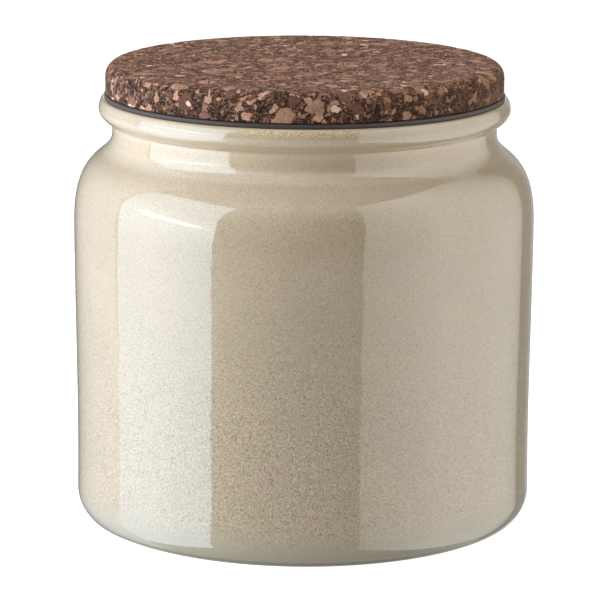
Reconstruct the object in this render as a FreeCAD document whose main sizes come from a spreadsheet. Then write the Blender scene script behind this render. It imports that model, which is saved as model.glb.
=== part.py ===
"""Storage jar of glazed stoneware with a pressed cork lid and a silicone sealing ring.

All sizes are in millimetres. The jar stands on z = 0 with its axis on Z. Every piece is turned about that
axis, so each is a PartDesign body: outlines in the XZ plane, where x is the radius, revolved and grooved.
The sheet "Sizes" holds the sizes that can be set by themselves. The sheet "Places" works out from them
the radius and the height of every corner and control point that the outlines use.
"""
import FreeCAD, Part
import math
import os
import Sketcher

SIZES = {
    # The jar, outside: widest at the belly, with a slight waist above the rounded base
    "body_diameter": 125.0,
    "jar_height": 113.9,
    "base_round": 8.6,
    "bulge_height": 5.7,
    "bulge_inset": 0.35,
    "bulge_upright": 3.0,
    "waist_inset": 0.6,
    "waist_height": 22.8,
    "middle_inset": 0.2,
    "middle_height": 52.0,
    "belly_depth": 33.7,
    "belly_upright": 10.0,
    "shoulder_upright": 10.7,
    "shoulder_flank": 15.2,
    "neck_upright": 3.8,
    "neck_depth": 9.2,
    # The rolled rim, a bead that overhangs the neck and meets it in a crease
    "crease_depth": 6.6,
    "underside_reach": 2.3,
    "underside_rise": 0.6,
    "rim_overhang": 3.6,
    "rim_crest_depth": 2.85,
    "crest_upright": 1.35,
    "crown_upright": 0.8,
    "crown_reach": 0.9,
    "lip_land": 2.25,
    # The jar, inside and underneath
    "mouth_diameter": 94.0,
    "neck_wall": 5.0,
    "wall": 4.6,
    "throat_depth": 12.5,
    "lip_round": 1.5,
    "floor_thickness": 6.0,
    "floor_round": 9.0,
    "foot_width": 4.5,
    "foot_slope": 1.5,
    "foot_recess": 1.8,
    # The cork lid: a disc that covers the rim, with a plug that hangs in the mouth
    "cork_overlap": 1.75,
    "cork_thickness": 8.1,
    "cork_top_round": 3.4,
    "cork_edge_break": 0.4,
    "plug_gap": 3.3,
    "plug_depth": 12.0,
    "plug_lip": 0.9,
    "plug_lip_height": 2.6,
    "plug_round": 0.9,
    # The silicone ring: a flange between cork and rim, and a finned sleeve round the plug
    "flange_thickness": 1.2,
    "flange_proud": 0.3,
    "flange_edge_round": 0.4,
    "sleeve_wall": 1.2,
    "sleeve_clearance": 0.1,
    "fin_gap": 0.25,
    "fin_root": 1.7,
    "fin_tip": 0.6,
    "fin_rise": 0.9,
}
FIN_COUNT = 3
GROOVE_HEADROOM = 5.0

PLACES = {
    # Outside of the jar, from the foot up
    "belly_r": "Sizes.body_diameter / 2",
    "belly_z": "Sizes.jar_height - Sizes.belly_depth",
    "bulge_r": "belly_r - Sizes.bulge_inset",
    "bulge_z": "Sizes.bulge_height + 0",
    "bulge_high_z": "bulge_z + Sizes.bulge_upright",
    "waist_r": "belly_r - Sizes.waist_inset",
    "waist_z": "Sizes.waist_height + 0",
    "middle_r": "belly_r - Sizes.middle_inset",
    "middle_z": "Sizes.middle_height + 0",
    "belly_low_z": "belly_z - Sizes.belly_upright",
    "belly_high_z": "belly_z + Sizes.shoulder_upright",
    "mouth_r": "Sizes.mouth_diameter / 2",
    "neck_r": "mouth_r + Sizes.neck_wall",
    "neck_z": "Sizes.jar_height - Sizes.neck_depth",
    "neck_low_z": "neck_z - Sizes.neck_upright",
    "flank_r": "(belly_r + neck_r) / 2",
    "flank_z": "Sizes.jar_height - Sizes.shoulder_flank",
    # The rolled rim
    "crease_z": "Sizes.jar_height - Sizes.crease_depth",
    "underside_r": "neck_r + Sizes.underside_reach",
    "underside_z": "crease_z + Sizes.underside_rise",
    "crest_r": "neck_r + Sizes.rim_overhang",
    "crest_z": "Sizes.jar_height - Sizes.rim_crest_depth",
    "crest_low_z": "crest_z - Sizes.crest_upright",
    "crest_high_z": "crest_z + Sizes.crown_upright",
    "lip_r": "neck_r + Sizes.lip_land",
    "crown_r": "lip_r + Sizes.crown_reach",
    "rim_z": "Sizes.jar_height + 0",
    # The foot ring and the recess inside it
    "foot_r": "bulge_r - Sizes.base_round + sqrt(Sizes.base_round ^ 2 - Sizes.bulge_height ^ 2)",
    "foot_in_r": "foot_r - Sizes.foot_width",
    "recess_r": "foot_in_r - Sizes.foot_slope",
    "recess_z": "Sizes.foot_recess + 0",
    # The cavity, whose shoulder runs one wall inside the outer one
    "cave_r": "belly_r - Sizes.wall",
    "floor_r": "cave_r - Sizes.floor_round",
    "floor_z": "recess_z + Sizes.floor_thickness",
    "cave_low_z": "floor_z + Sizes.floor_round",
    "cave_z": "belly_z + 0",
    "cave_high_z": "cave_z + Sizes.shoulder_upright",
    "cave_flank_r": "flank_r - Sizes.wall / sqrt(2)",
    "cave_flank_z": "flank_z - Sizes.wall / sqrt(2)",
    "throat_z": "Sizes.jar_height - Sizes.throat_depth",
    "throat_low_z": "throat_z - Sizes.neck_upright",
    "lip_in_r": "mouth_r + Sizes.lip_round",
    "lip_in_z": "Sizes.jar_height - Sizes.lip_round",
    "above_z": "Sizes.jar_height + %g" % GROOVE_HEADROOM,
    # The cork lid, whose disc lies on the flange of the ring
    "cork_r": "neck_r + Sizes.cork_overlap",
    "cork_z": "Sizes.jar_height + Sizes.flange_thickness",
    "cork_top_z": "cork_z + Sizes.cork_thickness",
    "cork_round_r": "cork_r - Sizes.cork_top_round",
    "cork_round_z": "cork_top_z - Sizes.cork_top_round",
    "cork_break_r": "cork_r - Sizes.cork_edge_break",
    "cork_break_z": "cork_z + Sizes.cork_edge_break",
    "plug_r": "mouth_r - Sizes.plug_gap",
    "plug_z": "Sizes.jar_height - Sizes.plug_depth",
    "plug_lip_r": "plug_r + Sizes.plug_lip",
    "plug_lip_z": "plug_z + Sizes.plug_lip_height",
    "plug_round_r": "plug_lip_r - Sizes.plug_round",
    "plug_round_z": "plug_z + Sizes.plug_round",
    # The silicone ring, with its fins evenly along the sleeve
    "sleeve_in_r": "plug_r + Sizes.sleeve_clearance",
    "sleeve_r": "sleeve_in_r + Sizes.sleeve_wall",
    "sleeve_z": "plug_lip_z + Sizes.sleeve_clearance",
    "flange_r": "cork_r + Sizes.flange_proud",
    "flange_in_r": "flange_r - Sizes.flange_edge_round",
    "flange_low_z": "rim_z + Sizes.flange_edge_round",
    "flange_high_z": "cork_z - Sizes.flange_edge_round",
    "fin_r": "mouth_r - Sizes.fin_gap",
    "fin_pitch": "(rim_z - sleeve_z) / %d" % FIN_COUNT,
}
for fin in range(FIN_COUNT):
    PLACES["fin_%d_root_z" % fin] = "sleeve_z + (%d + 0.5) * fin_pitch - Sizes.fin_root / 2" % fin
    PLACES["fin_%d_back_z" % fin] = "fin_%d_root_z + Sizes.fin_root" % fin
    PLACES["fin_%d_low_z" % fin] = "fin_%d_root_z + Sizes.fin_rise" % fin
    PLACES["fin_%d_high_z" % fin] = "fin_%d_low_z + Sizes.fin_tip" % fin


def add_sheets(doc):
    """Makes the sheet of driving sizes, and the sheet of places that are worked out from it."""
    for title, cells, text in (("Sizes", SIZES, "%g"), ("Places", PLACES, "=%s")):
        sheet = doc.addObject("Spreadsheet::Sheet", title)
        for row, (alias, content) in enumerate(cells.items(), start=1):
            sheet.set("A%d" % row, alias)
            sheet.setAlias("B%d" % row, alias)
            sheet.set("B%d" % row, text % content)
        doc.recompute()


class Outline:
    """A closed outline in a sketch on the XZ plane of a body, with every point bound to the sheets.

    It runs anticlockwise round the material. A point is a pair of cells of "Places", its radius and its
    height, where None stands for the axis or for the ground.
    """

    def __init__(self, body, name, first):
        self.sizes = body.Document.Sizes
        self.places = body.Document.Places
        self.sketch = body.newObject("Sketcher::SketchObject", name)
        plane = [item for item in body.Origin.OriginFeatures if item.Role == "XZ_Plane"][0]
        self.sketch.AttachmentSupport = (plane, [""])
        self.sketch.MapMode = "FlatFace"
        self.last = first
        self.sides = []
        self.curves = []

    def vector(self, point):
        """Where a point lies, from the cells that it names."""
        numbers = [0.0 if cell is None else float(getattr(self.places, cell)) for cell in point]
        return FreeCAD.Vector(numbers[0], numbers[1], 0)

    def bind(self, sheet, cell, kind, *where):
        """Adds a constraint and ties its value to a cell."""
        number = float(getattr(sheet, cell))
        index = self.sketch.addConstraint(Sketcher.Constraint(kind, *where, number))
        self.sketch.setExpression("Constraints[%d]" % index, "%s.%s" % (sheet.Name, cell))

    def pin(self, side, end, point):
        """Ties one end of a side, or the centre of a control point's circle, to its place."""
        for cell, kind, axis in zip(point, ("DistanceX", "DistanceY"), (-2, -1)):
            if cell is None:
                self.sketch.addConstraint(Sketcher.Constraint("PointOnObject", side, end, axis))
            else:
                self.bind(self.places, cell, kind, -1, 1, side, end)

    def add(self, shape, start, end, point):
        """Adds a side that runs on to a point, joined to the side before it."""
        side = self.sketch.addGeometry(shape, False)
        self.pin(side, start, self.last)
        if self.sides:
            before = self.sides[-1]
            self.sketch.addConstraint(Sketcher.Constraint("Coincident", before[0], before[2], side, start))
        self.sides.append((side, start, end))
        self.last = point
        return side

    def line(self, *points):
        """Straight sides through the points."""
        for point in points:
            self.add(Part.LineSegment(self.vector(self.last), self.vector(point)), 1, 2, point)

    def arc(self, size, point, hollow=False):
        """An arc of the radius that a size gives, bulging out of the material or, if hollow, into it."""
        start = self.vector(self.last)
        end = self.vector(point)
        radius = float(getattr(self.sizes, size))
        half = (end - start) * 0.5
        inward = FreeCAD.Vector(-half.y, half.x, 0) * (-1 if hollow else 1)
        centre = start + half + inward * (math.sqrt(radius ** 2 - half.Length ** 2) / half.Length)
        corners = (end, start) if hollow else (start, end)
        angles = [math.atan2(corner.y - centre.y, corner.x - centre.x) for corner in corners]
        circle = Part.Circle(centre, FreeCAD.Vector(0, 0, 1), radius)
        ends = (2, 1) if hollow else (1, 2)
        side = self.add(Part.ArcOfCircle(circle, *angles), *ends, point)
        self.bind(self.sizes, size, "Radius", side)

    def curve(self, *points):
        """A cubic spline from the last point, with these points as the rest of its control points."""
        poles = [self.last] + list(points)
        spans = len(poles) - 3
        knots = [knot / spans for knot in range(spans + 1)]
        counts = [4] + [1] * (spans - 1) + [4]
        spline = Part.BSplineCurve([self.vector(pole) for pole in poles], counts, knots, False, 3)
        side = self.add(spline, 1, 2, points[-1])
        self.curves.append((side, poles))

    def close(self):
        """Joins the last side to the first, and pins the inner control points of the curves."""
        first = self.sides[0]
        last = self.sides[-1]
        self.sketch.addConstraint(Sketcher.Constraint("Coincident", last[0], last[2], first[0], first[1]))
        for side, poles in self.curves:
            circle = len(self.sketch.Geometry)
            self.sketch.exposeInternalGeometry(side)
            for index in range(1, len(poles) - 1):
                self.pin(circle + index, 3, poles[index])
        return self.sketch


def turn(body, kind, name, sketch):
    """Revolves or grooves a sketch through a full turn about the axis of the part."""
    feature = body.newObject(kind, name)
    feature.Profile = sketch
    feature.ReferenceAxis = (sketch, ["V_Axis"])
    feature.Angle = 360
    sketch.Visibility = False
    body.Tip = feature
    return feature


def add_body(doc, label):
    body = doc.addObject("PartDesign::Body", label)
    body.Label = label
    body.Placement = FreeCAD.Placement()
    return body


def make_jar(doc):
    """The stoneware jar: foot ring, waisted wall, sloping shoulder, neck and rolled rim, then its cavity."""
    body = add_body(doc, "jar")
    outside = Outline(body, "JarOutside", (None, "recess_z"))
    outside.line(("recess_r", "recess_z"), ("foot_in_r", None), ("foot_r", None))
    outside.arc("base_round", ("bulge_r", "bulge_z"))
    outside.curve(("bulge_r", "bulge_high_z"), ("waist_r", "waist_z"), ("middle_r", "middle_z"),
                  ("belly_r", "belly_low_z"), ("belly_r", "belly_z"))
    outside.curve(("belly_r", "belly_high_z"), ("flank_r", "flank_z"),
                  ("neck_r", "neck_low_z"), ("neck_r", "neck_z"))
    outside.line(("neck_r", "crease_z"))
    outside.curve(("underside_r", "underside_z"), ("crest_r", "crest_low_z"), ("crest_r", "crest_z"))
    outside.curve(("crest_r", "crest_high_z"), ("crown_r", "rim_z"), ("lip_r", "rim_z"))
    outside.line((None, "rim_z"), (None, "recess_z"))
    turn(body, "PartDesign::Revolution", "JarBody", outside.close())
    inside = Outline(body, "JarInside", (None, "floor_z"))
    inside.line(("floor_r", "floor_z"))
    inside.arc("floor_round", ("cave_r", "cave_low_z"))
    inside.line(("cave_r", "cave_z"))
    inside.curve(("cave_r", "cave_high_z"), ("cave_flank_r", "cave_flank_z"),
                 ("mouth_r", "throat_low_z"), ("mouth_r", "throat_z"))
    inside.line(("mouth_r", "lip_in_z"))
    inside.arc("lip_round", ("lip_in_r", "rim_z"), hollow=True)
    inside.line(("lip_in_r", "above_z"), (None, "above_z"), (None, "floor_z"))
    turn(body, "PartDesign::Groove", "JarCavity", inside.close())
    return body


def make_cork_lid(doc):
    """The lid, turned from one block of pressed cork: a disc, and a plug with a lip that keeps the ring on."""
    body = add_body(doc, "cork_lid")
    outline = Outline(body, "CorkOutline", (None, "plug_z"))
    outline.line(("plug_round_r", "plug_z"))
    outline.arc("plug_round", ("plug_lip_r", "plug_round_z"))
    outline.line(("plug_lip_r", "plug_lip_z"), ("plug_r", "plug_lip_z"), ("plug_r", "cork_z"),
                 ("cork_break_r", "cork_z"), ("cork_r", "cork_break_z"), ("cork_r", "cork_round_z"))
    outline.arc("cork_top_round", ("cork_round_r", "cork_top_z"))
    outline.line((None, "cork_top_z"), (None, "plug_z"))
    turn(body, "PartDesign::Revolution", "CorkTurned", outline.close())
    return body


def make_seal_ring(doc):
    """The moulded ring: a flat flange, and a sleeve whose fins rise outward to the wall of the mouth."""
    body = add_body(doc, "seal_ring")
    outline = Outline(body, "SealOutline", ("sleeve_in_r", "sleeve_z"))
    outline.line(("sleeve_r", "sleeve_z"))
    for fin in range(FIN_COUNT):
        outline.line(("sleeve_r", "fin_%d_root_z" % fin), ("fin_r", "fin_%d_low_z" % fin),
                     ("fin_r", "fin_%d_high_z" % fin), ("sleeve_r", "fin_%d_back_z" % fin))
    outline.line(("sleeve_r", "rim_z"), ("flange_in_r", "rim_z"))
    outline.arc("flange_edge_round", ("flange_r", "flange_low_z"))
    outline.line(("flange_r", "flange_high_z"))
    outline.arc("flange_edge_round", ("flange_in_r", "cork_z"))
    outline.line(("sleeve_in_r", "cork_z"), ("sleeve_in_r", "sleeve_z"))
    turn(body, "PartDesign::Revolution", "SealTurned", outline.close())
    return body


def check(doc, bodies):
    """Stops if anything failed to build: a recompute can leave a failed object without raising."""
    for item in doc.Objects:
        if "Invalid" in item.State or "Error" in item.State:
            raise RuntimeError("%s failed: %s" % (item.Name, item.State))
        if item.TypeId == "Sketcher::SketchObject" and not item.FullyConstrained:
            raise RuntimeError("%s is not fully constrained" % item.Name)
    for body in bodies:
        if body.Shape.isNull() or not body.Shape.isValid() or len(body.Shape.Solids) != 1:
            raise RuntimeError("%s is not one valid solid" % body.Label)
    if doc.JarCavity.Shape.Volume >= doc.JarBody.Shape.Volume:
        raise RuntimeError("the cavity cuts nothing out of the jar")


def main():
    doc = FreeCAD.newDocument("StorageJar")
    add_sheets(doc)
    bodies = [make_jar(doc), make_cork_lid(doc), make_seal_ring(doc)]
    doc.recompute()
    check(doc, bodies)
    os.makedirs("parts", exist_ok=True)
    for body in bodies:
        body.Shape.exportStep("parts/%s.step" % body.Label)
        print("%s: %.1f cm3" % (body.Label, body.Shape.Volume / 1000))


main()
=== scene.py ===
"""Looks of the stoneware storage jar with its cork lid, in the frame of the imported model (metres, +Z up)."""

import functools
import math

import bpy
import bmesh
from mathutils import Matrix, Vector, noise


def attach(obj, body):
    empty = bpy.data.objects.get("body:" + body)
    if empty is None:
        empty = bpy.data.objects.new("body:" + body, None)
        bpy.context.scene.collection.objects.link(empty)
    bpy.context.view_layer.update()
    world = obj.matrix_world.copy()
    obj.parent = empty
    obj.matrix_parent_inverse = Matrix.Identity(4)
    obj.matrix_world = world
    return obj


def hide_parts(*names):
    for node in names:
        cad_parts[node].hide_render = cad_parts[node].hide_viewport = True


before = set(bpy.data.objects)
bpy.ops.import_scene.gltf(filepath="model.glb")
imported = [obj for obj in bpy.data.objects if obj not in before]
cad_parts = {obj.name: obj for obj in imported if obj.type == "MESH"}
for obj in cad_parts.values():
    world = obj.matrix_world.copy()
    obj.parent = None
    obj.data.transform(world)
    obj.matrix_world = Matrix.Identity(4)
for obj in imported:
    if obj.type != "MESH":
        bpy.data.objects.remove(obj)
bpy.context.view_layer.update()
MM = 0.001
ON_AXIS = 1e-6
SHARP_ANGLE = 38.0

# ---------------------------------------------------------------- measures of the jar and lid (mm)
BODY_R = 62.5
HEIGHT = 113.9
BELLY_Z = HEIGHT - 33.7
BULGE_R, BULGE_Z = BODY_R - 0.35, 5.7
BASE_ROUND = 8.6
WAIST_R, WAIST_Z = BODY_R - 0.6, 22.8
MIDDLE_R, MIDDLE_Z = BODY_R - 0.2, 52.0
MOUTH_R = 47.0
NECK_R, NECK_Z = 52.0, HEIGHT - 9.2
FLANK_R, FLANK_Z = (BODY_R + NECK_R) / 2, HEIGHT - 15.2
CREASE_Z = HEIGHT - 6.6
CREST_R, CREST_Z = NECK_R + 3.6, HEIGHT - 2.85
LIP_R = NECK_R + 2.25
FOOT_R = BULGE_R - BASE_ROUND + math.sqrt(BASE_ROUND ** 2 - BULGE_Z ** 2)
FOOT_IN_R = FOOT_R - 4.5
RECESS_R, RECESS_Z = FOOT_IN_R - 1.5, 1.8
WALL = 4.6
CAVE_R = BODY_R - WALL
FLOOR_Z, FLOOR_ROUND = RECESS_Z + 6.0, 9.0
CAVE_FLANK = (FLANK_R - WALL / math.sqrt(2), FLANK_Z - WALL / math.sqrt(2))
THROAT_Z = HEIGHT - 12.5
LIP_ROUND = 1.5
CORK_R, CORK_Z = NECK_R + 1.75, HEIGHT + 1.2
CORK_TOP = CORK_Z + 8.1
CORK_ROUND, CORK_BREAK = 3.4, 0.4
PLUG_R, PLUG_Z = MOUTH_R - 3.3, HEIGHT - 12.0
PLUG_LIP_R, PLUG_LIP_Z, PLUG_ROUND = PLUG_R + 0.9, PLUG_Z + 2.6, 0.9


# ---------------------------------------------------------------- outlines and turned meshes
def along(start, end, step):
    """Points from start, left out, to end, about a step apart."""
    count = max(1, round(math.dist(start, end) / step))
    return [(start[0] + (end[0] - start[0]) * i / count, start[1] + (end[1] - start[1]) * i / count)
            for i in range(1, count + 1)]


def bend(centre, radius, first, last, count):
    """Points of an arc after its first one, with angles in degrees."""
    points = []
    for i in range(1, count + 1):
        angle = math.radians(first + (last - first) * i / count)
        points.append((centre[0] + radius * math.cos(angle), centre[1] + radius * math.sin(angle)))
    return points


def spline(poles, count):
    """Points of a clamped cubic B-spline with even knots, after its first one."""
    spans = len(poles) - 3
    knots = [0.0] * 4 + [k / spans for k in range(1, spans)] + [1.0] * 4
    points = []
    for i in range(1, count + 1):
        u = i / count
        k = 3
        while k < len(poles) - 1 and u >= knots[k + 1]:
            k += 1
        d = [Vector(poles[k - 3 + j]) for j in range(4)]
        for r in range(1, 4):
            for j in range(3, r - 1, -1):
                low = knots[k - 3 + j]
                span = knots[j + 1 + k - r] - low
                a = (u - low) / span if span else 0.0
                d[j] = d[j - 1] * (1 - a) + d[j] * a
        points.append(tuple(d[3]))
    return points


def jar_outside():
    """From the middle of the recess under the foot, out and up to the top of the rim."""
    points = [(0.0, RECESS_Z)]
    points += along(points[-1], (RECESS_R, RECESS_Z), 3.0)
    points += along(points[-1], (FOOT_IN_R, 0.0), 0.6)
    points += along(points[-1], (FOOT_R, 0.0), 0.7)
    centre = (BULGE_R - BASE_ROUND, BULGE_Z)
    low = math.degrees(math.asin(-BULGE_Z / BASE_ROUND))
    points += bend(centre, BASE_ROUND, low, 0.0, 16)
    points += spline([(BULGE_R, BULGE_Z), (BULGE_R, BULGE_Z + 3.0), (WAIST_R, WAIST_Z), (MIDDLE_R, MIDDLE_Z),
                      (BODY_R, BELLY_Z - 10.0), (BODY_R, BELLY_Z)], 56)
    points += spline([(BODY_R, BELLY_Z), (BODY_R, BELLY_Z + 10.7), (FLANK_R, FLANK_Z),
                      (NECK_R, NECK_Z - 3.8), (NECK_R, NECK_Z)], 48)
    points += along(points[-1], (NECK_R, CREASE_Z - 0.8), 0.5)
    under = spline([(NECK_R, CREASE_Z), (NECK_R + 2.3, CREASE_Z + 0.6), (CREST_R, CREST_Z - 1.35),
                    (CREST_R, CREST_Z)], 24)
    points += spline([points[-1], (NECK_R, CREASE_Z - 0.2), (NECK_R + 0.3, CREASE_Z + 0.1), under[2]], 8)
    points += under[3:]
    return points + spline([(CREST_R, CREST_Z), (CREST_R, CREST_Z + 0.8), (LIP_R + 0.9, HEIGHT),
                            (LIP_R, HEIGHT)], 14)


def jar_inside():
    """From the top of the rim down the mouth to the middle of the floor."""
    points = along((LIP_R, HEIGHT), (MOUTH_R + LIP_ROUND, HEIGHT), 0.8)
    points += bend((MOUTH_R + LIP_ROUND, HEIGHT - LIP_ROUND), LIP_ROUND, 90, 180, 6)
    points += along(points[-1], (MOUTH_R, THROAT_Z), 3.0)
    points += spline([(MOUTH_R, THROAT_Z), (MOUTH_R, THROAT_Z - 3.8), CAVE_FLANK, (CAVE_R, BELLY_Z + 10.7),
                      (CAVE_R, BELLY_Z)], 16)
    points += along(points[-1], (CAVE_R, FLOOR_Z + FLOOR_ROUND), 6.0)
    points += bend((CAVE_R - FLOOR_ROUND, FLOOR_Z + FLOOR_ROUND), FLOOR_ROUND, 0, -90, 6)
    points += along(points[-1], (0.0, FLOOR_Z), 4.0)
    return points


def turned(name, outline, segments, shape):
    """A piece of revolution about Z. shape(point) moves a vertex a little; both are in millimetres."""
    bm = bmesh.new()
    rings = []
    for r, z in outline:
        steps = segments if r > ON_AXIS else 1
        ring = []
        for s in range(steps):
            angle = 2 * math.pi * s / segments
            place = Vector((r * math.cos(angle), r * math.sin(angle), z))
            ring.append(bm.verts.new(shape(place) * MM))
        rings.append(ring)
    for low, high in zip(rings, rings[1:]):
        for s in range(segments):
            t = (s + 1) % segments
            if len(low) == 1:
                bm.faces.new((low[0], high[t], high[s]))
            elif len(high) == 1:
                bm.faces.new((low[s], low[t], high[0]))
            else:
                bm.faces.new((low[s], low[t], high[t], high[s]))
    smooth_faces(bm)
    mesh = bpy.data.meshes.new(name)
    bm.to_mesh(mesh)
    bm.free()
    return add_object(name, mesh)


def smooth_faces(bm):
    """Smooth faces, with the edges kept sharp where the surface turns by SHARP_ANGLE degrees or more."""
    bm.normal_update()
    for face in bm.faces:
        face.smooth = True
    for edge in bm.edges:
        edge.smooth = len(edge.link_faces) != 2 or edge.calc_face_angle() < math.radians(SHARP_ANGLE)


def add_object(name, data):
    """An object in the scene, from its mesh, lamp or camera data."""
    holder = bpy.data.objects.new(name, data)
    bpy.context.scene.collection.objects.link(holder)
    return holder


# ---------------------------------------------------------------- node trees
def colour(value):
    """A colour with its alpha, from three numbers; anything else stays as it is."""
    return (*value, 1.0) if isinstance(value, tuple) and len(value) == 3 else value


def below_rim(*depths):
    """Heights in metres, from millimetres below the top of the rim."""
    return [(HEIGHT - depth) * MM for depth in depths]


class Nodes:
    """Short words for building the node tree of a material or of the world."""

    def __init__(self, owner):
        self.owner = owner
        owner.use_nodes = True
        self.tree = owner.node_tree
        self.tree.nodes.clear()

    @functools.cached_property
    def coords(self):
        """Places on the surface, in metres in the jar's frame."""
        return self.add("ShaderNodeTexCoord").outputs["Object"]

    def add(self, kind, **settings):
        node = self.tree.nodes.new(kind)
        for key, value in settings.items():
            setattr(node, key, value)
        return node

    def feed(self, node, socket, value):
        """Links a socket to another node's output, or sets it to a number, a colour or a vector."""
        if hasattr(value, "is_output"):
            self.tree.links.new(value, node.inputs[socket])
        elif value is not None:
            node.inputs[socket].default_value = value

    def axis(self, name):
        """One coordinate: X, Y or Z."""
        split = self.add("ShaderNodeSeparateXYZ")
        self.feed(split, 0, self.coords)
        return split.outputs[name]

    def noise(self, scale, detail, rough=0.5, where=None, wanted="Fac"):
        node = self.add("ShaderNodeTexNoise")
        self.feed(node, "Vector", where or self.coords)
        self.feed(node, "Scale", scale)
        self.feed(node, "Detail", detail)
        self.feed(node, "Roughness", rough)
        return node.outputs[wanted]

    def cells(self, scale, where, feature="F1", wanted="Distance"):
        node = self.add("ShaderNodeTexVoronoi", feature=feature)
        self.feed(node, "Vector", where)
        self.feed(node, "Scale", scale)
        return node.outputs[wanted]

    def tints(self, scale, where):
        """The random colour of each cell, as three numbers and as a vector."""
        tint = self.cells(scale, where, wanted="Color")
        split = self.add("ShaderNodeSeparateColor")
        self.feed(split, 0, tint)
        return (*split.outputs, tint)

    def math(self, operation, *values):
        node = self.add("ShaderNodeMath", operation=operation)
        for index, value in enumerate(values):
            self.feed(node, index, value)
        return node.outputs[0]

    def vector(self, operation, *values, scale=None):
        node = self.add("ShaderNodeVectorMath", operation=operation)
        for index, value in enumerate(values):
            self.feed(node, index, value)
        self.feed(node, "Scale", scale)
        return node.outputs["Value" if operation == "DOT_PRODUCT" else "Vector"]

    def shifted(self, amount, strength):
        """Places shifted by a noise, so that cells get uneven edges."""
        return self.vector("MULTIPLY_ADD", amount, (strength,) * 3, self.coords)

    def spread(self, value, low, high, to_low=0.0, to_high=1.0, smooth=True):
        """The value's stretch from low to high, laid over to_low to to_high and held beyond both ends."""
        node = self.add("ShaderNodeMapRange", interpolation_type="SMOOTHSTEP" if smooth else "LINEAR")
        for socket, number in (("Value", value), ("From Min", low), ("From Max", high),
                               ("To Min", to_low), ("To Max", to_high)):
            self.feed(node, socket, number)
        return node.outputs["Result"]

    def band(self, value, begins, full, still_full, ends):
        """1 inside a band of the value and 0 outside it, with soft edges."""
        return self.math("MULTIPLY", self.spread(value, begins, full), self.spread(value, ends, still_full))

    def mix(self, amount, first, second, blend="MIX"):
        node = self.add("ShaderNodeMix", data_type="RGBA", blend_type=blend)
        self.feed(node, 0, amount)
        self.feed(node, 6, colour(first))
        self.feed(node, 7, colour(second))
        return node.outputs[2]

    def bump(self, height, distance, strength, under=None):
        node = self.add("ShaderNodeBump")
        self.feed(node, "Height", height)
        self.feed(node, "Distance", distance)
        self.feed(node, "Strength", strength)
        self.feed(node, "Normal", under)
        return node.outputs["Normal"]

    def finish(self, shader, output="ShaderNodeOutputMaterial"):
        """Gives the shader to the output node. Returns the material or the world."""
        self.feed(self.add(output), "Surface", shader.outputs[0])
        return self.owner

    def surface(self, **sockets):
        """A Principled surface. A socket's name has _ for each space."""
        shader = self.add("ShaderNodeBsdfPrincipled")
        for socket, value in sockets.items():
            self.feed(shader, socket.replace("_", " "), colour(value))
        return self.finish(shader)


# ---------------------------------------------------------------- the glaze
GLAZE_DEEP, GLAZE_PALE = (0.480, 0.394, 0.275), (0.512, 0.420, 0.296)
# Painted light near the rim, over a paler neck: millimetres below its top where a band begins, is full, still
# is full and ends.
PAINTED_LIGHT_BANDS = (
    ((13.1, 10.9, 3.9, 2.4), (0.575, 0.460, 0.312)),    # the neck and the underside of the bead: paler glaze and painted bounce light from below
    ((15.3, 13.7, 11.7, 10.7), (0.600, 0.505, 0.375)),  # the top of the shoulder: painted light from above
    ((8.4, 7.6, 7.1, 6.4), (0.610, 0.505, 0.370)),      # a painted highlight in the crease below the bead
    ((4.6, 3.9, 3.0, 2.1), (0.590, 0.495, 0.368)),      # the crest of the bead: painted light from the front
)
GRAIN_DARKER, GRAIN_LIGHTER = (0.46, 0.43, 0.38), (1.34, 1.36, 1.40)
SPECK, SPECK_STRENGTH = (0.17, 0.13, 0.08), 0.72
# The curd lies in such a band too, on the front alone: it fades in between two values of Y in metres.
CURD_BAND, CURD_FRONT = (2.2, 1.6, 0.5, 0.0), (-0.0518, -0.0542)
CURD_DEEP, CURD_PALE, CURD_STRENGTH = (0.42, 0.30, 0.15), (0.68, 0.57, 0.38), 0.85
# The second of these colours is painted shade where the foot meets the floor.
POOLED, FOOT_CONTACT_SHADE, BARE_CLAY = (0.34, 0.325, 0.245), (0.16, 0.15, 0.12), (0.42, 0.33, 0.24)


def glaze_grain(n, z, base):
    """A fine mottle and dark specks, strongest low on the body and gone at the very foot."""
    low = n.spread(z, 0.075, 0.030, 0.48, 1.0)
    foot = n.math("MULTIPLY", n.spread(z, 0.0008, 0.0068), n.spread(z, 0.112, 0.095, 0.5, 1.0))
    depth = n.math("MULTIPLY", low, foot)
    stretched = n.vector("MULTIPLY", n.coords, (1.45, 1.45, 0.85))
    grain = n.spread(n.noise(scale=2900.0, detail=2.0, rough=0.6, where=stretched), 0.32, 0.68, smooth=False)
    darker = n.mix(1.0, base, GRAIN_DARKER, "MULTIPLY")
    lighter = n.mix(1.0, base, GRAIN_LIGHTER, "MULTIPLY")
    mottled = n.mix(depth, base, n.mix(grain, darker, lighter))
    uneven = n.shifted(n.noise(scale=900.0, detail=2.0, rough=0.6), 0.0004)
    large = n.spread(n.cells(620.0, uneven), 0.19, 0.12)
    small = n.spread(n.cells(1100.0, uneven), 0.27, 0.16)
    patches = n.spread(n.noise(scale=300.0, detail=2.0), 0.40, 0.62)
    specks = n.math("MAXIMUM", large, n.math("MULTIPLY", small, patches))
    specks = n.math("MULTIPLY", n.math("MULTIPLY", specks, depth), SPECK_STRENGTH)
    return n.mix(specks, mottled, SPECK)


def glaze_curd(n, z, base):
    """The rough, yellowish glaze on the front of the rim, just below the seal."""
    stretched = n.vector("MULTIPLY", n.coords, (1.0, 1.0, 1.3))
    lumps = n.spread(n.noise(scale=1900.0, detail=3.0, rough=0.62, where=stretched), 0.40, 0.60)
    where = n.math("MULTIPLY", n.band(z, *below_rim(*CURD_BAND)), n.spread(n.axis("Y"), *CURD_FRONT))
    return n.mix(n.math("MULTIPLY", where, CURD_STRENGTH), base, n.mix(lumps, CURD_DEEP, CURD_PALE))


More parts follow.
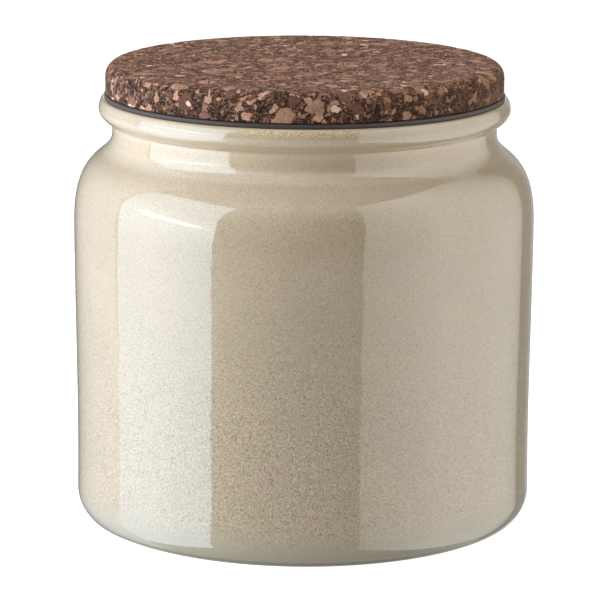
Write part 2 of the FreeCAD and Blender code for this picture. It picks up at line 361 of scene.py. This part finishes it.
def glaze_foot(n, z, base):
    """Grey-green glaze pooled above the foot, painted shade at its lowest edge on the floor, and bare clay
    where the jar stands.
    """
    pooled = n.mix(n.spread(z, 0.012, 0.001, 0.0, 0.85), base, POOLED)
    # Painted shade along the foot's lowest edge, where it meets the floor.
    edge = n.mix(n.spread(z, 0.0016, 0.0008, 0.0, 0.8), pooled, FOOT_CONTACT_SHADE)
    return n.mix(n.spread(z, 0.0005, 0.0002), edge, BARE_CLAY)


def glaze_material():
    """Cream reactive glaze with light painted into it near the rim, under a clear glossy coat with a slight
    ripple.
    """
    n = Nodes(bpy.data.materials.new("glazed_stoneware"))
    z = n.axis("Z")
    clouds = n.spread(n.noise(scale=38.0, detail=4.0, rough=0.55), 0.35, 0.65)
    tone = n.mix(clouds, GLAZE_DEEP, GLAZE_PALE)
    # Each band lays painted light over the glaze, with a paler glaze at the neck.
    for depths, pale in PAINTED_LIGHT_BANDS:
        tone = n.mix(n.band(z, *below_rim(*depths)), tone, pale)
    tone = glaze_grain(n, z, tone)
    tone = glaze_curd(n, z, tone)
    tone = glaze_foot(n, z, tone)
    ripple = n.bump(n.noise(scale=55.0, detail=2.0, rough=0.4), distance=0.00035, strength=0.35)
    skin = n.bump(n.noise(scale=420.0, detail=2.0), distance=0.00003, strength=0.5, under=ripple)
    return n.surface(Base_Color=tone, Roughness=0.45, Specular_IOR_Level=0.21, Coat_Weight=1.0,
                     Coat_Roughness=0.035, Coat_IOR=1.5, Normal=skin, Coat_Normal=skin)


# ---------------------------------------------------------------- the jar
# How far the wall wanders, in millimetres, and the heights between which the wander begins and ends.
WANDER, WANDER_SEED = 0.10, 7.0
WANDER_ACROSS, WANDER_UP = 0.03, 0.022
WANDER_LOW, WANDER_HIGH = (2.0, 10.0), (95.0, 105.0)
WANDER_INSIDE = 30.0


def jar_shape(p):
    """Slip-cast ware isn't quite true: the wall wanders by a tenth of a millimetre, inwards only."""
    radial = Vector((p.x, p.y, 0.0))
    if radial.length < WANDER_INSIDE:
        return p
    place = Vector((p.x * WANDER_ACROSS, p.y * WANDER_ACROSS, p.z * WANDER_UP + WANDER_SEED))
    wander = 0.5 + 0.5 * noise.noise(place)
    rise = (p.z - WANDER_LOW[0]) / (WANDER_LOW[1] - WANDER_LOW[0])
    fall = (WANDER_HIGH[1] - p.z) / (WANDER_HIGH[1] - WANDER_HIGH[0])
    reach = min(1.0, max(0.0, rise)) * min(1.0, max(0.0, fall))
    return p - radial.normalized() * WANDER * wander * reach


jar = turned("jar_glazed", jar_outside() + jar_inside(), 360, jar_shape)
jar.data.materials.append(glaze_material())
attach(jar, "root")
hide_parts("jar")


# ---------------------------------------------------------------- the cork lid
BINDER, CRUMB, PALE_CRUMB = (0.026, 0.012, 0.009), (0.440, 0.228, 0.152), (0.50, 0.30, 0.21)
# Granules of three sizes: cells per metre, share of cells left out on the top, darkest and lightest tone,
# distance between growth lines in metres, and how strongly the lines show.
GRANULES = (
    (860.0, 0.72, (0.050, 0.022, 0.015), (0.740, 0.400, 0.265), 0.00042, 0.50),
    (440.0, 0.76, (0.055, 0.026, 0.017), (0.840, 0.480, 0.330), 0.00048, 0.55),
    (225.0, 0.80, (0.110, 0.056, 0.038), (0.620, 0.360, 0.250), 0.00055, 0.65),
)
# The third of these colours is painted shadow in the gap under the cork.
GROWTH_LINE, BARK_CHIP, CORK_GAP_SHADOW = (0.075, 0.034, 0.024), (0.84, 0.61, 0.46), (0.018, 0.011, 0.010)
# The sawn side is darker than the pressed top, by the first of these, partly as sawn cork and partly as
# painted shade, and has fewer granules, by SAWN_SPARSE.
SAWN_AND_SHADED_SIDE, SAWN_SPARSE = 0.62, 0.22
# Relief: noise cells per millimetre, the noise above which a pit or hollow opens, and depths in millimetres.
PIT_SCALE, PIT_LEVEL, PIT_DEPTH = 0.85, 0.28, 0.715
HOLLOW_SCALE, HOLLOW_LEVEL, HOLLOW_DEPTH, HOLLOW_SEED = 0.42, 0.1, 0.1, Vector((9.0, 3.0, 5.0))
SANDED, DEEPEST = 0.02, 0.42


def cork_outline():
    """From the middle of the plug's end, out and up to the middle of the top."""
    points = [(0.0, PLUG_Z)]
    points += along(points[-1], (PLUG_LIP_R - PLUG_ROUND, PLUG_Z), 1.5)
    points += bend((PLUG_LIP_R - PLUG_ROUND, PLUG_Z + PLUG_ROUND), PLUG_ROUND, -90, 0, 4)
    points += along(points[-1], (PLUG_LIP_R, PLUG_LIP_Z), 0.6)
    points += along(points[-1], (PLUG_R, PLUG_LIP_Z), 0.5)
    points += along(points[-1], (PLUG_R, CORK_Z), 1.2)
    points += along(points[-1], (CORK_R - CORK_BREAK, CORK_Z), 0.9)
    points += along(points[-1], (CORK_R, CORK_Z + CORK_BREAK), 0.3)
    points += along(points[-1], (CORK_R, CORK_TOP - CORK_ROUND), 0.45)
    points += bend((CORK_R - CORK_ROUND, CORK_TOP - CORK_ROUND), CORK_ROUND, 0, 90, 12)
    return points + along(points[-1], (0.0, CORK_TOP), 0.8)


def cork_shape(p):
    """Sanded cork: small pits and wide shallow hollows on the top, the rounded edge and the side."""
    r = math.hypot(p.x, p.y)
    outward = Vector((p.x, p.y, 0.0)).normalized() if r > ON_AXIS else Vector((0.0, 0.0, 0.0))
    if p.z > CORK_TOP - 0.01:
        normal = Vector((0.0, 0.0, 1.0))
    elif p.z > CORK_TOP - CORK_ROUND:
        centre = outward * (CORK_R - CORK_ROUND)
        normal = (p - Vector((centre.x, centre.y, CORK_TOP - CORK_ROUND))).normalized()
    elif p.z > CORK_Z + CORK_BREAK:
        normal = outward
    else:
        return p
    pits = max(0.0, noise.noise(p * PIT_SCALE) - PIT_LEVEL) * PIT_DEPTH
    hollows = max(0.0, noise.noise(p * HOLLOW_SCALE + HOLLOW_SEED) - HOLLOW_LEVEL) * HOLLOW_DEPTH
    return p - normal * min(DEEPEST, pits + hollows + SANDED)


def granules(n, where, sawn_and_shaded, tone, relief, layer):
    """Lays granules of one size, striped by growth lines and flecked, over the tone and the relief."""
    scale, left_out, dark, light, pitch, stripes = layer
    red, green, blue, tint = n.tints(scale, where)
    edge = n.cells(scale, where, feature="DISTANCE_TO_EDGE")
    limit = n.math("MULTIPLY_ADD", sawn_and_shaded, -SAWN_SPARSE, left_out + SAWN_SPARSE)
    chosen = n.math("MULTIPLY", n.math("GREATER_THAN", green, limit), n.spread(edge, 0.05, 0.11))
    across = n.vector("NORMALIZE", n.vector("SUBTRACT", tint, (0.5, 0.5, 0.5)))
    phase = n.math("MULTIPLY", n.vector("DOT_PRODUCT", where, across), 2 * math.pi / pitch)
    lines = n.spread(n.math("SINE", phase), 0.1, 0.95, 0.0, stripes)
    lines = n.math("MULTIPLY", lines, n.spread(blue, 0.35, 0.75))
    flecks = n.spread(n.noise(scale=3000.0, detail=3.0, rough=0.65), 0.42, 0.62, 0.0, 0.60)
    body = n.mix(n.math("MAXIMUM", lines, flecks), n.mix(red, dark, light), GROWTH_LINE)
    relief = n.math("MAXIMUM", relief, n.math("MULTIPLY", chosen, 0.6))
    return n.mix(chosen, tone, body), relief


def cork_material():
    """Smoked pressed cork: crumbs and granules in a dark binder, and pale bark chips; darker on its side,
    partly by the sawing and partly as painted shade.
    """
    n = Nodes(bpy.data.materials.new("pressed_cork"))
    height = n.axis("Z")
    # Darker down the side: partly the sawn cork, partly painted shade.
    sawn_and_shaded = n.spread(height, (CORK_TOP - 0.6) * MM, (CORK_TOP - 2.6) * MM, 1.0, SAWN_AND_SHADED_SIDE)
    uneven = n.shifted(n.noise(scale=620.0, detail=5.0, wanted="Color"), 0.0016)

    red, green, _, _ = n.tints(2300.0, uneven)
    tone = n.mix(n.math("POWER", red, 2.3), BINDER, CRUMB)
    tone = n.mix(n.spread(green, 0.90, 0.95), tone, PALE_CRUMB)
    clouds = n.spread(n.noise(scale=300.0, detail=2.0, rough=0.6), 0.36, 0.62, 0.44, 1.20)
    tone = n.vector("SCALE", tone, scale=n.math("MULTIPLY", sawn_and_shaded, clouds))
    relief = n.math("MULTIPLY", red, 0.35)
    for layer in GRANULES:
        tone, relief = granules(n, uneven, sawn_and_shaded, tone, relief, layer)

    flat = n.vector("MULTIPLY", uneven, (1.0, 1.0, 1.5))
    _, green, _, _ = n.tints(360.0, flat)
    edge = n.cells(360.0, flat, feature="DISTANCE_TO_EDGE")
    chips = n.math("MULTIPLY", n.spread(green, 0.974, 0.978), n.spread(edge, 0.12, 0.20))
    tone = n.mix(chips, tone, BARK_CHIP)
    # Painted shadow along the cork's lower edge, in the gap between the cork and the seal ring.
    gap_shadow = n.spread(height, (CORK_Z + 0.55) * MM, (CORK_Z + 0.15) * MM, 0.0, 0.85)
    tone = n.mix(gap_shadow, tone, CORK_GAP_SHADOW)

    rough = n.bump(relief, distance=0.00025, strength=0.8)
    rough = n.bump(n.noise(scale=2600.0, detail=3.0, rough=0.6), distance=0.00008, strength=0.5, under=rough)
    return n.surface(Base_Color=tone, Roughness=0.8, Specular_IOR_Level=0.17, Normal=rough)


cork = turned("cork_pressed", cork_outline(), 560, cork_shape)
cork.data.materials.append(cork_material())
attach(cork, "root")
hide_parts("cork_lid")


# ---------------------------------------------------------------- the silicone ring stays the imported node
SILICONE, DUSTY_SILICONE = (0.046, 0.037, 0.034), (0.072, 0.060, 0.055)


def silicone_material():
    """Dark grey moulded silicone: satin, with a trace of dust and moulding texture."""
    n = Nodes(bpy.data.materials.new("silicone"))
    dust = n.spread(n.noise(scale=140.0, detail=4.0, rough=0.6), 0.45, 0.7, 0.0, 0.35)
    fine = n.bump(n.noise(scale=1800.0, detail=2.0), distance=0.00003, strength=0.4)
    return n.surface(Base_Color=n.mix(dust, SILICONE, DUSTY_SILICONE), Roughness=0.55,
                     Specular_IOR_Level=0.26, Normal=fine)


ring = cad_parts["seal_ring"]
ring.data.materials.clear()
ring.data.materials.append(silicone_material())


# ---------------------------------------------------------------- floor and world
WORLD_LEVEL = 0.10
FLOOR_SEEN, FLOOR_MATT, FLOOR_REACH = 0.93, 0.62, 4.0


def flat_panel(name, corners):
    mesh = bpy.data.meshes.new(name)
    mesh.from_pydata(corners, [], [tuple(range(len(corners)))])
    panel = add_object(name, mesh)
    return panel


def floor_material():
    """Matt floor with a glow that only the camera sees, so that it reads as white and keeps the shadow."""
    n = Nodes(bpy.data.materials.new("floor_white"))
    light = n.add("ShaderNodeEmission")
    seen = n.add("ShaderNodeLightPath").outputs["Is Camera Ray"]
    n.feed(light, "Strength", n.math("MULTIPLY", seen, FLOOR_SEEN))
    matt = n.add("ShaderNodeBsdfDiffuse")
    n.feed(matt, "Color", (FLOOR_MATT, FLOOR_MATT, FLOOR_MATT, 1.0))
    both = n.add("ShaderNodeAddShader")
    n.feed(both, 0, light.outputs[0])
    n.feed(both, 1, matt.outputs[0])
    n.owner.cycles.emission_sampling = "NONE"
    return n.finish(both)


def studio_world():
    """White to the camera and to reflections, and a dim light on everything."""
    n = Nodes(bpy.data.worlds.new("studio"))
    ray = n.add("ShaderNodeLightPath").outputs
    seen = n.math("MAXIMUM", ray["Is Camera Ray"],
                  n.math("MAXIMUM", ray["Is Glossy Ray"], ray["Is Transmission Ray"]))
    shade = n.add("ShaderNodeBackground")
    n.feed(shade, "Color", (1.0, 1.0, 1.0, 1.0))
    n.feed(shade, "Strength", n.spread(seen, 0.0, 1.0, WORLD_LEVEL, 1.0, smooth=False))
    return n.finish(shade, "ShaderNodeOutputWorld")


floor = flat_panel("floor", [
    (-FLOOR_REACH, -FLOOR_REACH, 0), (FLOOR_REACH, -FLOOR_REACH, 0),
    (FLOOR_REACH, FLOOR_REACH, 0), (-FLOOR_REACH, FLOOR_REACH, 0)])
floor.data.materials.append(floor_material())
floor.visible_glossy = False
bpy.context.scene.world = studio_world()


# ---------------------------------------------------------------- cards that the glaze mirrors
# A glow lists places along an axis and the strength there. An outline lists y and z of a card's corners.
SIDE = 0.6
LEFT_GLOW = [(-0.70, 5.5), (-0.45, 5.6), (-0.15, 5.2), (0.13, 3.5)]
LEFT_OUTLINE = [
    (-0.55, -0.53), (0.135, -0.53), (0.125, -0.13), (0.104, 0.00), (0.100, 0.43), (0.10, 0.59),
    (-0.10, 0.68), (-0.30, 0.75), (-0.475, 0.83), (-0.72, 0.95), (-0.66, 0.60), (-0.65, 0.30), (-0.64, 0.06),
    (-0.605, -0.17)]
TUBE_GLOW = [(-0.62, 7.5), (-0.45, 11.0), (-0.30, 16.0), (-0.15, 15.0), (-0.02, 8.0)]
TUBE_OUTLINE = [
    (-0.62, 0.184), (-0.50, 0.197), (-0.02, 0.202), (-0.02, 0.236), (-0.50, 0.235), (-0.62, 0.215)]
BOUNCE_GLOW = [(0.13, 2.3), (0.32, 1.6), (0.57, 0.95), (0.90, 0.5), (1.60, 0.15), (4.50, 0.05)]
BOUNCE_OUTLINE = [(0.135, -0.8), (4.5, -1.3), (4.5, 1.3), (0.115, 1.0)]
RIGHT_GLOW = [(-1.16, 2.3), (-0.70, 3.0), (-0.20, 4.1), (0.25, 2.2), (0.60, 0.7)]
RIGHT_OUTLINE = [
    (-1.17, -0.60), (0.59, -0.60), (0.585, 0.10), (0.66, 0.38), (0.67, 0.52), (0.54, 0.71), (0.24, 0.89),
    (-0.22, 1.02), (-0.61, 1.25), (-1.03, 1.50), (-0.97, 0.88), (-1.03, 0.58), (-1.08, 0.25), (-1.085, -0.10)]
FLAG_GLOW = [(0.60, 0.2), (1.50, 0.35)]
FLAG_OUTLINE = [(0.60, -0.8), (1.50, -0.8), (1.50, 1.0), (0.60, 1.0)]
BACK_GLOW = [(1.51, 0.45), (4.50, 0.35)]
BACK_OUTLINE = [(1.51, -0.8), (4.50, -1.3), (4.50, 1.3), (1.51, 1.0)]
FRONT_GLOW = [(-0.60, 1.0), (-0.25, 0.9), (0.00, 0.3), (0.85, 0.3), (1.15, 0.7), (1.70, 1.4), (3.20, 1.6)]
FRONT_CORNERS = [(-2.4, -1.6, -0.60), (1.2, -1.6, -0.60), (1.2, -1.6, 3.20), (-2.4, -1.6, 3.20)]
GLOW_RANGE = 20.0
RISE_FROM, RISE_TO = (-0.05, 0.15), (0.24, 0.40)


def glow_material(name, glow, tint, axis, rise):
    """Light that changes along an axis and is stronger, by the factor rise, at about the tube's height."""
    n = Nodes(bpy.data.materials.new(name))
    first, last = glow[0][0], glow[-1][0]
    ramp = n.add("ShaderNodeValToRGB")
    n.feed(ramp, 0, n.spread(n.axis(axis), first, last, smooth=False))
    stops = ramp.color_ramp.elements
    while len(stops) < len(glow):
        stops.new(0.5)
    for stop, (place, strength) in zip(stops, glow):
        stop.position = (place - first) / (last - first)
        stop.color = (strength / GLOW_RANGE,) * 3 + (1.0,)
    height = n.axis("Z")
    gain = n.math("MULTIPLY", n.spread(height, *RISE_FROM, GLOW_RANGE, GLOW_RANGE * rise),
                  n.spread(height, *RISE_TO, 1.0, 1.0 / rise))
    light = n.add("ShaderNodeEmission")
    n.feed(light, "Color", colour(tint))
    n.feed(light, "Strength", n.math("MULTIPLY", ramp.outputs["Color"], gain))
    n.owner.cycles.emission_sampling = "NONE"
    return n.finish(light)


def card(name, corners, glow, tint=(1.0, 1.0, 1.0), axis="Y", rise=1.0):
    """A panel that only reflections see."""
    panel = flat_panel(name, corners)
    panel.data.materials.append(glow_material(name, glow, tint, axis, rise))
    panel.visible_camera = False
    panel.visible_diffuse = False
    panel.visible_shadow = False


def beside(side, outline):
    """Corners of an upright panel beside the jar."""
    return [(side, y, z) for y, z in outline]


card("softbox_left", beside(-SIDE, LEFT_OUTLINE), LEFT_GLOW, tint=(0.82, 1.0, 1.18), rise=1.22)
card("softbox_right", beside(SIDE, RIGHT_OUTLINE), RIGHT_GLOW)
card("tube_left", beside(-SIDE + 0.002, TUBE_OUTLINE), TUBE_GLOW)
card("bounce_left", beside(-SIDE, BOUNCE_OUTLINE), BOUNCE_GLOW, tint=(0.95, 1.0, 1.08))
card("flag_right", beside(SIDE + 0.003, FLAG_OUTLINE), FLAG_GLOW)
card("back_right", beside(SIDE, BACK_OUTLINE), BACK_GLOW)
card("front", FRONT_CORNERS, FRONT_GLOW, axis="Z")


# ---------------------------------------------------------------- lamps
AIM = Vector((0.0, 0.0, 0.06))


def lamp(name, place, width, height, power, tint):
    """A rectangular lamp, aimed at the jar, that the camera and reflections don't see."""
    light = bpy.data.lights.new(name, "AREA")
    light.color = tint
    light.shape = "RECTANGLE"
    light.size = width
    light.size_y = height
    light.energy = power
    holder = add_object(name, light)
    holder.location = place
    holder.rotation_mode = "QUATERNION"
    holder.rotation_quaternion = (AIM - Vector(place)).to_track_quat("-Z", "Y")
    holder.visible_glossy = False
    holder.visible_camera = False


lamp("key_left", (-1.03, -0.29, 0.35), width=0.8, height=0.7, power=14.8, tint=(0.95, 1.0, 1.06))
lamp("fill_right", (1.05, -0.05, 0.35), width=0.9, height=0.7, power=2.5, tint=(1.06, 1.0, 0.6))
lamp("top", (0.0, -0.2, 1.2), width=0.9, height=0.9, power=6.0, tint=(1.03, 1.0, 0.96))
lamp("low", (0.0, -0.9, 0.03), width=0.9, height=0.25, power=0.7, tint=(1.1, 1.0, 0.8))


# ---------------------------------------------------------------- camera
CAMERA_PLACE = Vector((-0.00098, -0.850, 0.2504))
PITCH, ROLL = 0.2233, 0.0054
LENS, SENSOR = 190.97, 36.0
NEAREST, FARTHEST = 0.05, 20.0

forward = Vector((0.0, math.cos(PITCH), -math.sin(PITCH)))
upward = Vector((0.0, math.sin(PITCH), math.cos(PITCH)))
sideways = Vector((1.0, 0.0, 0.0))
right = sideways * math.cos(ROLL) + upward * math.sin(ROLL)
up = upward * math.cos(ROLL) - sideways * math.sin(ROLL)
turn = Matrix((right, up, -forward)).transposed().to_4x4()

camera_data = bpy.data.cameras.new("camera")
camera_data.sensor_width = SENSOR
camera_data.lens = LENS
camera_data.clip_start = NEAREST
camera_data.clip_end = FARTHEST
camera = add_object("camera", camera_data)
camera.matrix_world = Matrix.Translation(CAMERA_PLACE) @ turn
bpy.context.scene.camera = camera

bpy.context.scene.view_settings.view_transform = "Standard"

bpy.context.view_layer.update()
